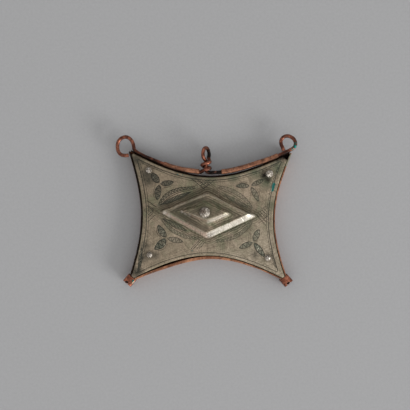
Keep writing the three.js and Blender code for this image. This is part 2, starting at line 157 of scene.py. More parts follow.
def copper(name, bare, brown, dark, patch, green=(), shade_spots=(), painted_shade_from=None, pale=()):
    """Copper that was beaten and handled: brown oxide in patches, darker blotches and specks, and salmon
    where it is rubbed. Where the mesh marks it, it is painted near black with shade. Typical copper
    roughness of 0.3, duller under the oxide. It may have crusts of verdigris, spots of painted shade and
    pale spots, and be painted black with shade above a height."""
    material, tree, place = named_material(name)
    oxide = patches(tree, place, patch, (0.38, 0.58, 0, 1), 5.0, 0.6)
    black = patches(tree, place, patch * 0.45, (0.5, 0.68, 0, 0.9), 4.0, 0.3, 0.7)
    specks = patches(tree, place, 0.7, (0.52, 0.72, 0, 0.55), 3.0, 0.0, 0.3)
    lines = scratches(tree, place, 0.5, 0.1)
    rubbed = carried(tree, "wear_and_sheen", (0, 1, 0, 0.75))
    colour = laid_over(tree, linear(bare), (brown, oxide), (dark, black), (dark, specks), (bare, rubbed))
    # Painted shade, near black, where the mesh marks it: near the cover's upper edge and inside the coils.
    colour = laid_over(tree, colour, (SHADE_BLACK, carried(tree, "painted_shade"), 0.93))
    # Painted black with shade above a height.
    if painted_shade_from:
        level = add(tree, "ShaderNodeSeparateXYZ", {0: place}, "Z")
        shaded_top = {0: level, 1: painted_shade_from * MM, 2: (painted_shade_from + 1.5) * MM}
        colour = laid_over(tree, colour, (SHADE_BLACK, add(tree, "ShaderNodeMapRange", shaded_top), 0.95))
    for tint, spots, blur in ((SHADE_BLACK, shade_spots, 0.7), (PALE_GREY, pale, 0.4), (VERDIGRIS, green, 0.2)):
        colour = crusts_and_painted_spots(tree, place, colour, tint, spots, blur)
    roughness = summed(tree, 0.3, (oxide, 0.14), (specks, 0.2))
    metallic = summed(tree, 0.92, (black, -0.4))
    surface(tree, colour, metallic, roughness, summed(tree, 0.0, (specks, 1.0), (lines, 0.5)), 0.06)
    return material


def in_scene(name, data):
    """An object in the scene, made of a mesh, a light or a camera."""
    thing = bpy.data.objects.new(name, data)
    bpy.context.scene.collection.objects.link(thing)
    return thing


def finished(work, name, bend=34):
    """A bmesh as an object, smooth but for its real corners."""
    mesh = bpy.data.meshes.new(name)
    work.to_mesh(mesh)
    work.free()
    mesh.shade_smooth()
    mesh.set_sharp_from_angle(angle=math.radians(bend))
    return in_scene(name, mesh)


def worn_copy(node, name, rounding, dent, dent_size, planes=(), flat=False, shaped=None):
    """A node's solid with its edges rounded by handling and its sheet slightly dented, in
    millimetres. Planes are cuts, as an axis and a distance, that give the dents points to
    move. The dents of an upright sheet push it aside, and those of a flat one lift it."""
    work = bmesh.new()
    work.from_mesh(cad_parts[node].data)
    bmesh.ops.remove_doubles(work, verts=work.verts, dist=WELDED * MM)
    bmesh.ops.dissolve_limit(work, angle_limit=ALMOST_FLAT, verts=work.verts, edges=work.edges)
    for axis, distance in planes:
        everything = [*work.verts, *work.edges, *work.faces]
        normal = Vector([float(index == axis) for index in range(3)])
        bmesh.ops.bisect_plane(work, geom=everything, plane_co=normal * distance * MM, plane_no=normal)
    if shaped:
        shaped(work)
    wear_and_sheen = work.faces.layers.float.new("wear_and_sheen")
    sharp = [e for e in work.edges if e.is_manifold and e.calc_face_angle() > SHARP]
    rounded = bmesh.ops.bevel(
        work, geom=sharp, offset=rounding * MM, segments=2, profile=0.5, affect="EDGES", clamp_overlap=True
    )
    for face in rounded["faces"]:
        face[wear_and_sheen] = 1
    for vertex in work.verts:
        push = noise.noise_vector(vertex.co / (dent_size * MM)) * dent * MM
        vertex.co += Vector((0, 0, abs(push.z))) if flat else Vector((push.x, push.y, 0))
    bmesh.ops.triangulate(work, faces=work.faces)
    return finished(work, name)


def seated(piece, body, slot, material, *nodes):
    """Gives a piece its finish and its place on the case or on the cover."""
    piece.data.materials.clear()
    piece.data.materials.append(material)
    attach(piece, body)
    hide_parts(*nodes)


# A spot of painted shade darkens the plate in the gap at the upper right corner.
plate_shade_spots = [(38.4, 28.8, 0.8, 5.4)]
plate_copper = copper("beaten copper plate", "#C8875F", "#85573F", "#3A241B", 9.0, shade_spots=plate_shade_spots)
plate_cuts = [(axis, at) for axis in (0, 1) for at in range(-36, 37, 6)]
back_plate = worn_copy("back_plate", "floor_plate", 0.12, 0.12, 14.0, plate_cuts, flat=True)
seated(back_plate, "tray", "copper_sheet", plate_copper, "back_plate")

# The rim is four strips of the same copper, standing on the back plate round the cover. They were bent by
# hand and soldered at their feet. The lower one has a lip that was bent outwards. The left and upper ones
# are darker copies of the copper, painted with shade, and painted black with shade along the top.
LIP = 0.95
LIP_MIDDLE = -9.0
LIP_LENGTH = 34.0
LIP_FOOT = 4.0
LIP_TOP = 7.4


def bent_lip(work):
    """Moves the outer side of the lower rim outwards towards its top."""
    work.normal_update()
    for vertex in work.verts:
        x, y, z = vertex.co / MM
        off = (x - LIP_MIDDLE) / LIP_LENGTH
        if vertex.normal.y < -0.3 and z > LIP_FOOT and abs(off) < 1:
            rise = (z - LIP_FOOT) / (LIP_TOP - LIP_FOOT)
            vertex.co.y -= LIP * (1 - off * off) * rise**1.5 * MM


strip_green = [(39.7, 30.6, 7.2, 1.2), (37.8, 25.4, 7.2, 0.8)]
strip_pale = [(40.1, 29.6, 7.2, 2.0), (39.4, 27.6, 7.2, 2.0), (38.8, 25.8, 7.2, 1.8)]
strip_tints = ("#C48D6C", "#8A5D46", "#3C261C")
strip_copper = copper("bent copper strip", *strip_tints, 7.0, strip_green, pale=strip_pale)
# Darker copies of the strip copper for the left and upper strips, painted with shade and painted black with
# shade above a height.
shaded_side_copper = copper("copper strip, painted shade on top", "#A9765C", "#6F4B3A", "#2C1C16", 7.0, painted_shade_from=5.0)
shaded_top_copper = copper("copper strip in painted shade", "#8A6350", "#553A2E", "#241813", 7.0, painted_shade_from=2.0)
rim_cuts = [(2, height) for height in (2.2, 3.8, 5.4, 6.6)]
for side in ("left", "right", "bottom", "top"):
    lip = bent_lip if side == "bottom" else None
    strip = worn_copy("wall_" + side, "rim_" + side, 0.14, 0.12, 7.0, rim_cuts, shaped=lip)
    metal = {"left": shaded_side_copper, "top": shaded_top_copper}.get(side, strip_copper)
    seated(strip, "tray", "copper_sheet", metal, "wall_" + side)

# The charm is a sheet of rag paper, written on inside, folded to and fro and pressed flat.
# It lies loose in the case, yellowed, with its folds and corners rubbed darker.
charm_paper, tree, place = named_material("folded rag paper")
foxing = patches(tree, place, 6.0, (0.5, 0.72, 0, 0.6), 5.0, 0.3)
fibres = scratches(tree, place, 0.9, 0.4)
stains = [("#A98A58", foxing), ("#8A7048", fibres, 0.3), ("#7D6238", carried(tree, "wear_and_sheen"), 0.5)]
surface(tree, laid_over(tree, linear("#D8C79E"), *stains), 0.0, 0.92, fibres, 0.06)
charm = worn_copy("charm_packet", "charm_paper", 0.08, 0.16, 9.0, plate_cuts, flat=True)
seated(charm, "tray", "charm_paper", charm_paper, "charm_packet")

# The suspension wire is one length of drawn copper wire about 1.8 mm thick. It runs along
# the upper edge, ends in an open eye past each corner and, left of the middle, winds round
# its own neck and stands up in a third eye. Drawn wire is smooth, but bending left it uneven.
TIPS = {"top_left": (-39.4, 31.7), "bottom_left": (-39.6, -32.15)}
TIPS |= {"bottom_right": (38.2, -32.15), "top_right": (40.2, 31.0)}
TIPS = {name: np.array(tip) for name, tip in TIPS.items()}
BOWS = {"left": 6.1, "bottom": 12.1, "right": 7.4, "top": 12.3}
ENDS = {"bottom": ("bottom_left", "bottom_right"), "right": ("bottom_right", "top_right")}
ENDS |= {"top": ("top_right", "top_left"), "left": ("top_left", "bottom_left")}
EDGE_REACH = 0.4
WIRE = 0.9
SLEEVE = 1.35
WIRE_HEIGHT = 6.65
WIRE_SPREAD = 2.5
ARC_POINTS = 25
WAVERS_IN_A_METRE = 220.0
MERGED = 0.002
SHADED_WITHIN = 0.7


def unit(vectors):
    """Vectors made one long."""
    return vectors / np.linalg.norm(vectors, axis=-1, keepdims=True)


def across(vectors):
    """Flat vectors turned a quarter to the left."""
    return np.stack([-vectors[..., 1], vectors[..., 0]], -1)


def beside(edge, share, distance):
    """Points along one edge of the case, travelled anticlockwise, a distance outside it."""
    start, end = (TIPS[name] for name in ENDS[edge])
    inward = unit(across(end - start)) * (BOWS[edge] * 4 / 3)
    reach = (end - start) * EDGE_REACH
    hold_start, hold_end = start + reach + inward, end - reach + inward
    share = np.atleast_1d(np.asarray(share, float))[:, None]
    rest = 1 - share
    on = start * rest**3 + hold_start * 3 * rest**2 * share
    on += hold_end * 3 * rest * share**2 + end * share**3
    ahead = (hold_start - start) * rest**2 + 2 * (hold_end - hold_start) * rest * share
    ahead += (end - hold_end) * share**2
    return on - across(unit(ahead)) * distance


def eased(value, low, high):
    """A smooth step from 0 to 1."""
    share = np.clip((value - low) / (high - low), 0, 1)
    return share * share * (3 - 2 * share)


def along_top(start, end, count):
    """The wire's way along the upper edge, by shares of it from the left."""
    share = np.linspace(start, end, count + 1)
    stand_off = eased(share, 0.2, 0.42) * (1 - eased(share, 0.78, 0.95))
    sleeved = eased(share, 0.02, 0.16) * (1 - eased(share, 0.95, 1))
    corner, sleeve = WIRE + 0.3, SLEEVE + 0.3
    offset = corner + (sleeve + (WIRE_SPREAD - sleeve) * stand_off - corner) * sleeved
    flat = np.array([beside("top", 1 - s, o)[0] for s, o in zip(share, offset)])
    return np.column_stack([flat, np.full(len(flat), WIRE_HEIGHT)])


def corner_eye(tip, places):
    """A flat eye, by places from the corner that it stands at."""
    return [(*(TIPS[tip] + place), WIRE_HEIGHT) for place in places]


def middle_eye():
    """Up round the neck, over in a loop that stands nearly on edge, and down the neck."""
    neck_x, neck_length, wrap, rise, pitch = -1.75, 5.0, 2 * WIRE + 0.2, 1.4, 3.1
    loop, loop_middle, tilt = 3.3, 9.1, math.radians(62)
    foot = beside("top", 0.47, WIRE_SPREAD)[0][1]
    points = []
    for degrees in range(125, -361, -30):
        turn = math.radians(degrees)
        up = rise + pitch * (90 - degrees) / 360
        points.append((wrap * math.cos(turn), up, wrap * math.sin(turn)))
    points.append((wrap - 0.3, rise + pitch * 1.25 + 0.8, -2 * WIRE))
    for degrees in range(-30, 211, 30):
        turn = math.radians(degrees)
        side = loop * math.cos(turn)
        up = loop_middle + loop * math.sin(turn)
        points.append((side * math.cos(tilt), up, -side * math.sin(tilt)))
    points += [(-0.15, neck_length + 0.8, 0.3), (0, neck_length, 0), (0, rise + 0.5, 0)]
    points += [(0.25, 0.7, 0), (1.2, 0, 0)]
    return [(neck_x + x, foot + y, WIRE_HEIGHT + z) for x, y, z in points]


def smoothed(points, steps):
    """A centripetal Catmull-Rom curve through points, as many more."""
    points = np.array(points, float)
    ends = 2 * points[0] - points[1], 2 * points[-1] - points[-2]
    points = np.vstack([ends[0], points, ends[1]])
    spans = np.linalg.norm(np.diff(points, axis=0), axis=1)[:, None] ** 0.5
    slopes = np.diff(points, axis=0) / spans
    turns = (points[2:] - points[:-2]) / (spans[1:] + spans[:-1])
    tangents = slopes[:-1] - turns + slopes[1:]
    share = np.linspace(0, 1, steps, endpoint=False)[:, None]
    curve = []
    for at in range(len(points) - 3):
        start, end, span = points[at + 1], points[at + 2], spans[at + 1]
        a = start * (2 * share**3 - 3 * share**2 + 1) + end * (3 * share**2 - 2 * share**3)
        b = tangents[at] * (share**3 - 2 * share**2 + share) + tangents[at + 1] * (share**3 - share**2)
        curve.append(a + b * span)
    return np.vstack([*curve, points[-2]])


def with_sockets(name, sockets):
    """An empty Geometry Nodes tree with named inputs, and what it is given."""
    group = bpy.data.node_groups.new(name, "GeometryNodeTree")
    for label, kind in sockets:
        group.interface.new_socket(label, in_out="INPUT", socket_type="NodeSocket" + kind)
    group.interface.new_socket("Metal", in_out="OUTPUT", socket_type="NodeSocketGeometry")
    return group, add(group, "NodeGroupInput").node.outputs


def given_material(group, metal, material):
    """The end of a tree: its instances made real, and its metal given a material."""
    metal = add(group, "GeometryNodeRealizeInstances", {0: metal})
    metal = add(group, "GeometryNodeSetMaterial", {0: metal, 2: material})
    add(group, "NodeGroupOutput", {0: metal})
    return group


def rolled_metal(name, normals):
    """A Geometry Nodes tree that draws a round wire, or a rolled sheet, along a path."""
    sockets = [("Path", "Geometry"), ("Radius", "Float"), ("Start angle", "Float")]
    sockets += [("Sweep angle", "Float"), ("Step", "Float"), ("Unevenness", "Float")]
    sockets += [("Seed", "Float"), ("Material", "Material")]
    group, given = with_sockets(name, sockets)
    curve = add(group, "GeometryNodeMeshToCurve", {0: given["Path"]})
    curve = add(group, "GeometryNodeResampleCurve", {0: curve, "Length": given["Step"]}, mode="LENGTH")
    curve = add(group, "GeometryNodeSetCurveNormal", {0: curve}, mode=normals)
    where = add(group, "GeometryNodeInputPosition")
    inputs = {"Vector": where, "W": given["Seed"], "Scale": WAVERS_IN_A_METRE, "Detail": 2.0}
    waver = add(group, "ShaderNodeTexNoise", inputs, noise_dimensions="4D")
    thick = add(group, "ShaderNodeMath", {0: waver, 1: 0.5}, operation="SUBTRACT")
    inputs = {0: thick, 1: given["Unevenness"], 2: 1.0}
    thick = add(group, "ShaderNodeMath", inputs, operation="MULTIPLY_ADD")
    arc = {"Resolution": ARC_POINTS, "Radius": given["Radius"]}
    arc |= {"Start Angle": given["Start angle"], "Sweep Angle": given["Sweep angle"]}
    section = add(group, "GeometryNodeCurveArc", arc)
    metal = add(group, "GeometryNodeCurveToMesh", {0: curve, 1: section, 2: thick})
    metal = add(group, "GeometryNodeMergeByDistance", {0: metal, "Distance": MERGED * MM})
    return given_material(group, metal, given["Material"])


def grown_along(name, points, group, values):
    """An object whose metal is made by a tree from a line in millimetres."""
    mesh = bpy.data.meshes.new(name)
    steps = [(at, at + 1) for at in range(len(points) - 1)]
    mesh.from_pydata([tuple(point) for point in np.array(points) * MM], steps, [])
    piece = in_scene(name, mesh)
    nodes = piece.modifiers.new("made", "NODES")
    nodes.node_group = group
    for item in group.interface.items_tree:
        if item.name in values:
            nodes[item.identifier] = values[item.name]
    return piece


def made_plain(piece):
    """Turns what the modifiers make into the piece's own mesh, its faces pointing out."""
    graph = bpy.context.evaluated_depsgraph_get()
    mesh = bpy.data.meshes.new_from_object(piece.evaluated_get(graph))
    work = bmesh.new()
    work.from_mesh(mesh)
    rims = [edge for edge in work.edges if edge.is_boundary]
    bmesh.ops.holes_fill(work, edges=rims, sides=0)
    bmesh.ops.recalc_face_normals(work, faces=work.faces)
    work.to_mesh(mesh)
    work.free()
    piece.modifiers.clear()
    piece.data = mesh
    mesh.shade_smooth()
    mesh.set_sharp_from_angle(angle=SHARP)


def shade_by_edge(piece, lit_from):
    """Marks how near a piece's points lie to the cover's upper edge, where the piece is painted dark with
    shade.
    """
    places = np.array([vertex.co[:2] for vertex in piece.data.vertices]) / MM
    edge = beside("top", np.linspace(0, 1, 300), 0)
    gaps = np.array([np.linalg.norm(edge - place, axis=1).min() for place in places])
    layer = piece.data.attributes.new("painted_shade", "FLOAT", "POINT")
    layer.data.foreach_set("value", (1 - eased(gaps, SHADED_WITHIN, lit_from)).astype(np.float32))


left_eye = [(-1.1, -1.45), (-3.3, -1.6), (-5.1, -1.1), (-6.35, 0.5), (-6.75, 3.0), (-6.35, 5.3)]
left_eye += [(-4.85, 7.0), (-2.6, 7.7), (-0.6, 6.85), (0.8, 5.0), (1.4, 2.8), (1.75, 1.2)]
right_eye = [(-0.1, 1.7), (1.7, 2.7), (2.95, 4.5), (2.5, 6.8), (0.9, 8.3), (-1.1, 8.9)]
right_eye += [(-3.1, 8.3), (-4.25, 6.7), (-4.2, 4.7), (-3.5, 3.05), (-2.9, 1.5)]
route = [*corner_eye("top_left", left_eye), *along_top(0.06, 0.43, 9), *middle_eye()]
route += [*along_top(0.53, 0.96, 11), *corner_eye("top_right", right_eye)]
wire_spots = [(42.9, 34.4, 7.2, 1.5), (43.2, 36.2, 6.9, 1.0), (41.6, 33.2, 7.4, 0.7)]
# Spots of painted shade darken the wire right of the middle eye's neck, the lower branch of its loop, the
# run along the upper left and the wire by the right eye.
wire_shade_spots = [(0.8, 21.9, 6.6, 3.6), (4.6, 21.7, 6.6, 3.6), (-0.2, 31.4, 3.7, 4.6), (36.6, 30.4, 6.6, 1.3)]
wire_shade_spots += [(-34.2, 30.3, 6.6, 1.7), (-30.8, 28.8, 6.6, 1.9), (-27.6, 27.5, 6.6, 1.7)]
wire_copper = copper("drawn copper wire", "#A96B54", "#593429", "#29170F", 4.0, wire_spots, wire_shade_spots)
drawn = {"Radius": WIRE * MM, "Start angle": 0.0, "Sweep angle": 2 * math.pi, "Step": 0.45 * MM}
drawn |= {"Unevenness": 0.18, "Seed": 3.0, "Material": wire_copper}
wire = grown_along("hanging_wire", smoothed(route, 12), rolled_metal("wire", "MINIMUM_TWIST"), drawn)
made_plain(wire)
# Painted shade darkens the wire near the cover's upper edge.
shade_by_edge(wire, 2.8)
seated(wire, "tray", "copper_wire", wire_copper, "suspension_wire")

# Two sleeves are strips of thin copper sheet rolled round the wire with pliers, with the
# open seam turned to the case. The right one is cut square at its left end. Their sheet
# is paler than the wire, dull and brown in places, and bright where fingers rub it.
SEAM = 0.5
SHEET = 0.24
rolled_strip = rolled_metal("sleeve", "Z_UP")
sleeve_copper = copper("rolled copper sheet", "#B98366", "#7C5340", "#3C251C", 5.0)
for side, (start, end) in {"left": (0.18, 0.42), "right": (0.585, 0.945)}.items():
    rolled = {"Radius": (SLEEVE - SHEET / 2) * MM, "Start angle": SEAM}
    rolled |= {"Sweep angle": 2 * (math.pi - SEAM), "Step": 0.8 * MM, "Unevenness": 0.16}
    rolled |= {"Seed": 8.0 + start, "Material": sleeve_copper}
    way = along_top(start, end, 60)
    sleeve = grown_along("sleeve_rolled_" + side, way, rolled_strip, rolled)
    sheet = sleeve.modifiers.new("sheet", "SOLIDIFY")
    sheet.thickness = SHEET * MM
    sheet.offset = 0
    made_plain(sleeve)
    # Painted shade darkens each sleeve on its side next to the cover's upper edge.
    shade_by_edge(sleeve, 2.1)
    seated(sleeve, "tray", "copper_sheet", sleeve_copper, "sleeve_" + side)

# The ferrules are strips of copper rolled a turn and a third into squarish coils round the rim's tails at
# the two lower corners. They are open at their outer ends, and the upper side is worn back in the middle
# there, so the hollow, painted dark with shade, shows from the front.
SLANT = 0.38
LOWER_LIP = 0.9
WORN_WIDTH = 1.0
WORN_REACH = 0.8
CUT_STEP = 0.5


def open_ended(work):
    """Wears back the upper side of a coil's outer end over a longer lower lip, and marks the inside of the
    hollow for painted shade."""
    work.normal_update()
    middle = sum((vertex.co for vertex in work.verts), Vector()) / len(work.verts)
    outward = Vector((middle.x, middle.y, 0)).normalized()
    reach = max((vertex.co - middle) @ outward for vertex in work.verts)
    low = min(vertex.co.z for vertex in work.verts)
    painted_shade = work.faces.layers.float.new("painted_shade")
    for face in work.faces:
        off = face.calc_center_median() - middle
        off -= outward * (off @ outward)
        if abs(face.normal @ outward) < 0.5 and face.normal @ off < 0:
            face[painted_shade] = 1
    for vertex in work.verts:
        off = vertex.co - middle
        share = np.clip(off @ outward / reach / WORN_REACH, 0, 1)
        aside = abs(off.x * outward.y - off.y * outward.x) / (WORN_WIDTH * MM)
        longer = LOWER_LIP * MM - (vertex.co.z - low) * SLANT
        vertex.co += outward * longer * share**3 * max(0, 1 - aside**4)


ferrule_green = [(-38.4, -32.8, 7.1, 0.8)]
# A pale spot is a painted highlight on the left coil.
ferrule_highlight = [(-37.9, -33.9, 7.1, 1.2)]
ferrule_copper = copper(
    "rolled copper strip", "#BE7A60", "#7E4B38", "#3A2018", 3.0, ferrule_green, pale=ferrule_highlight
)
coil_cuts = [(0, CUT_STEP * at) for at in (*range(-84, -70), *range(70, 85))]
coil_cuts += [(1, CUT_STEP * at) for at in range(-72, -58)]
for side in ("left", "right"):
    node = "ferrule_" + side
    coil = worn_copy(node, "ferrule_coil_" + side, 0.1, 0.06, 3.0, coil_cuts, shaped=open_ended)
    seated(coil, "tray", "copper_sheet", ferrule_copper, node)

# The front cover is a tray of nickel silver sheet, folded down all round and set inside
# the rim. A stepped lozenge was beaten up out of it from behind, leaves, bands and arcs
# were cut into its face with a graver, and green and black tarnish has settled in them.
COVER_FACE = 8.2
COVER_FOOT = 0.8
COVER_SHEET = 0.6
CONTOURS = [
    ([(-26.0, 2.3), (-0.9, -11.7), (23.9, -0.3), (-1.0, 12.8)], 0.0),
    ([(-22.2, 2.4), (-2.2, -8.8), (19.2, 0.7), (-0.8, 11.0)], 2.0),
    ([(-16.5, 2.4), (-1.0, -6.0), (14.4, 0.0), (-0.8, 8.2)], 1.75),
    ([(-13.7, 2.1), (-0.7, -2.2), (8.2, 1.5), (-0.8, 5.6)], 3.78),
]
LOZENGE_MIDDLE = np.array([-1.5, 1.0])
CORNER_CUTS = {"top_left": 1.35, "top_right": 3.4, "bottom_left": 1.7, "bottom_right": 1.7}
BORDERS = {"top": (1.4, 2.4), "bottom": (1.5, 2.5), "left": (1.9, 3.0), "right": (2.4, 3.2)}
STUDS = ["centre_stud", "stud_top_left", "stud_top_right", "stud_bottom_left", "stud_bottom_right"]
LARGE = 2.0
FULL_CUT = 0.13
CUT = 0.28
HOLE_POINTS = 20
FAR_OUTSIDE = -9.0
TIP_SHARPNESS = 3.0
BORDER_POINTS = 90


def stud_place(node):
    """A stud's middle, its radius and the heights of its lowest and highest point."""
    low, high = (np.array(corner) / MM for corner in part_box(node))
    return (low + high)[:2] / 2, (high - low)[0] / 2, low[2], high[2]


def clipped(loop, point, outward):
    """The part of a closed loop on the near side of a line."""
    clearance = 0.7
    kept = []
    for here, after in zip(loop, np.roll(loop, -1, 0)):
        depth, depth_after = (here - point) @ outward, (after - point) @ outward
        if depth <= -clearance:
            kept.append(here)
        if (depth < 0) != (depth_after < 0):
            kept.append(here + (after - here) * depth / (depth - depth_after))
    return np.array(kept)


def cover_outline():
    """The outer face of the cover's folded sides, anticlockwise, with blunt corners."""
    order = ["bottom", "right", "top", "left"]
    loop = np.vstack([beside(edge, np.linspace(0, 1, 60, endpoint=False), 0) for edge in order])
    for edge, before in zip(order, ["left", "bottom", "right", "top"]):
        name = ENDS[edge][0]
        tip = TIPS[name]
        inward = unit(beside(edge, 0.002, 0)[0] - tip) + unit(beside(before, 0.998, 0)[0] - tip)
        loop = clipped(loop, tip + unit(inward) * CORNER_CUTS[name], -unit(inward))
    return loop


def inset(loop, distance):
    """A closed loop, anticlockwise, moved inwards."""
    ahead = unit(np.roll(loop, -1, 0) - loop)
    along = unit(ahead + np.roll(ahead, 1, 0))
    return loop + across(along) * distance / (along * ahead).sum(1)[:, None]


def enclosed(points, loop):
    """Which points lie inside a closed loop."""
    x, y = points[:, 0][:, None], points[:, 1][:, None]
    (x0, y0), (x1, y1) = loop.T, np.roll(loop, -1, 0).T
    spans = (y0 > y) != (y1 > y)
    crossing = x0 + (y - y0) / np.where(y1 == y0, 1, y1 - y0) * (x1 - x0)
    return (spans & (x < crossing)).sum(1) % 2 == 1


def inside_lozenge(points, tips):
    """How far points lie inside a lozenge, rounded a little at its tips."""
    gaps = [(points - a) @ across(unit(b - a)) for a, b in zip(np.array(tips), np.roll(tips, -1, 0))]
    return -np.log(np.exp(-TIP_SHARPNESS * np.array(gaps)).sum(0)) / TIP_SHARPNESS


def soft_band(depth, middle, width):
    """A soft band round the lozenge, at a depth inside it."""
    return np.exp(-(((depth - middle) / width) ** 2))


def cover_form(points):
    """Height of the face, with the depth inside the lozenge and the masks of its tarnish and painted light.
    Tarnish lies at the feet of the slopes, and painted shade on the upper side outside the lozenge, on its
    left parts and on the lower left facet of the inner step, and round the studs. The lower bevels, which
    face the light, carry a painted highlight, rosy to the left. The crests are marked for wear, and the
    lower side of the inner crest for painted highlight."""
    depths = [inside_lozenge(points, tips) for tips, _ in CONTOURS]
    height = np.full(len(points), COVER_FACE)
    shares = []
    for at in range(3):
        climbed = np.maximum(depths[at], 0)
        share = climbed / (climbed - np.minimum(depths[at + 1], 0) + 1e-6)
        shares.append(share)
        lift = CONTOURS[at + 1][1] - CONTOURS[at][1]
        height += lift * [share, share * share * (3 - 2 * share), share**1.5][at]
    height -= 0.22 * np.sin(np.pi * shares[1]) ** 2
    clear = np.ones(len(points))
    for stud in STUDS:
        middle, radius = stud_place(stud)[:2]
        clear *= eased(np.linalg.norm(points - middle, axis=1), radius + 0.1, radius + 1.6)
    broad = [noise.noise((x / 9, y / 9, 0.5)) for x, y in points]
    fine = [noise.noise((x / 2.6, y / 2.6, 4)) for x, y in points]
    height += (0.1 * np.array(broad) + 0.04 * np.array(fine)) * clear
    ledge = 4 * shares[1] * (1 - shares[1])
    lower, left = (eased(way, 0.0, 1.5) for way in (LOZENGE_MIDDLE + (1, 1) - points)[:, ::-1].T)
    right = 1 - left
    bevel = eased(depths[0], 0.0, 0.4) * eased(-depths[1], 0.0, 0.4) * lower
    step = eased(depths[2], 0.0, 0.4) * eased(-depths[3], 0.0, 0.4)
    feet = soft_band(depths[2], -0.35, 0.4) * (1 + 0.9 * lower * left)
    feet += soft_band(depths[0], -0.5, 0.5)
    feet += (1 - lower) * (0.5 + 0.5 * left) * soft_band(depths[0], -1.3, 1.2)
    feet += 0.8 * step * np.maximum(lower * left, 1 - eased(shares[2], 0.25, 0.55))
    feet += 0.45 * left * eased(depths[3], 0.0, 0.5) + ledge * left * (0.8 - 0.2 * lower)
    return height, {
        "slope": depths[0],
        "ledge": np.maximum(ledge * (1 - 0.65 * right), eased(depths[3], -0.2, 0.5)),
        "bevel": bevel + 0.6 * step * lower * right * eased(shares[2], 0.42, 0.62),
        "rosy_painted_light": left * (bevel + step * lower * eased(shares[2], 0.5, 0.8)),
        "feet_tarnish_and_shade": feet,
        "wear_and_sheen": soft_band(depths[1], 0, 0.3) + soft_band(depths[3], 0, 0.3) * lower,
        "shaded": 1 - clear,
    }


def resampled(points, count):
    """Points spread evenly along a line."""
    points = np.asarray(points, float)
    reached = np.concatenate([[0], np.cumsum(np.linalg.norm(np.diff(points, axis=0), axis=1))])
    wanted = np.linspace(0, reached[-1], count)
    return np.column_stack([np.interp(wanted, reached, points[:, axis]) for axis in (0, 1)])


strokes = []
inked = []
face_loop = cover_outline()
cutting_edge = inset(face_loop, 0.8)
stud_rings = [stud_place(stud)[:2] for stud in STUDS]


def engrave(points, width=CUT, weight=1.0):
    """A cut of the graver, pointed at its ends, that stops short of the studs and the edge."""
    length = np.linalg.norm(np.diff(points, axis=0), axis=1).sum()
    close = resampled(points, max(4, int(length / 0.2)))
    keep = enclosed(close, cutting_edge)
    for middle, radius in stud_rings:
        keep &= np.linalg.norm(close - middle, axis=1) > radius + 0.25
    ends = np.flatnonzero(np.diff(np.concatenate([[0], keep.astype(int), [0]])))
    for first, last in ends.reshape(-1, 2):
        part = close[first:last]
        reach = np.linalg.norm(np.diff(part, axis=0), axis=1).sum()
        if reach < 0.6:
            continue
        inner = resampled(part, max(2, round(reach / 1.6) + 1)) if len(points) > 2 else part[[0, -1]]
        taper = min(0.4, reach / 3)
        start = inner[0] + unit(inner[1] - inner[0]) * taper
        end = inner[-1] + unit(inner[-2] - inner[-1]) * taper
        strokes.append((np.vstack([inner[0], start, inner[1:-1], end, inner[-1]]), width, weight))


def zigzag(outer, inner, pitch, weight=1.0):
    """Cuts to and fro between two lines."""
    count = max(3, int(np.linalg.norm(np.diff(outer, axis=0), axis=1).sum() / pitch))
    outer, inner = resampled(outer, count), resampled(inner, count)
    for at in range(count - 1):
        ends = [outer[at], inner[at + 1]] if at % 2 else [inner[at], outer[at + 1]]
        engrave(ends, CUT, weight)


def leaf(base, tip, width, weight=1.0, echo=0, lean=1.3, pitch=0.95):
    """A pointed leaf, hatched to and fro. An echo is a second line along one of its sides."""
    base, tip = np.array(base, float), np.array(tip, float)
    aside = across(unit(tip - base))
    share = np.linspace(0, 1, 21)[:, None]
    stem = base + (tip - base) * share + aside * (0.1 * width * echo * np.sin(np.pi * share))
    half = width / 2 * np.sin(np.pi * share**0.9) ** 0.8
    sides = [stem + aside * half, stem - aside * half]
    inked.append((np.vstack([sides[0], sides[1][::-1]]), weight))
    for side in sides:
        engrave(side, 0.4, weight)
    if echo:
        engrave((sides[0] if echo > 0 else sides[1])[3:-2] + aside * 0.75 * echo, 0.3, 0.8 * weight)
    count = int(np.linalg.norm(tip - base) / pitch)
    for number, middle in enumerate(np.arange(1, count) / count * 20):
        way = lean if number % 2 else -lean
        ends = []
        for mark, side in zip(np.clip([middle - way, middle + way], 1, 19), sides):
            ends.append([np.interp(mark, range(21), side[:, axis]) for axis in (0, 1)])
        engrave(ends, 0.36, weight)


# Three leaves stand round a point near each corner, and half of them have a second line
# along one side. Each has its tip, width, weight and echo. One more lies at the lower left.
TREFOILS = {
    (-25.0, 15.9): [(-29.3, 21.6, 3.3, 1.0, 0), (-17.8, 16.9, 2.7, 0.9, -1), (-26.1, 7.6, 3.2, 1.0, -1)],
    (20.5, 14.7): [(27.2, 18.1, 2.2, 0.7, 0), (12.9, 14.7, 2.4, 0.7, -1), (24.6, 6.8, 2.6, 0.5, 1)],
    (-21.4, -11.3): [(-25.9, -4.6, 3.2, 0.9, 1), (-27.7, -17.0, 3.8, 1.0, 1), (-13.1, -13.1, 2.7, 0.5, 0)],
    (21.9, -13.3): [(24.8, -6.6, 3.0, 0.6, 0), (14.6, -16.3, 2.6, 0.6, 0), (27.8, -20.8, 2.7, 1.0, 0)],
}
STEM_GAP = 0.4
for heart, leaves in TREFOILS.items():
    for x, y, width, weight, echo in leaves:
        start = np.array(heart) + unit(np.array((x, y)) - heart) * STEM_GAP
        leaf(start, (x, y), width, weight, echo)
leaf((-34.0, -15.8), (-35.5, -28.2), 1.6, 0.6)

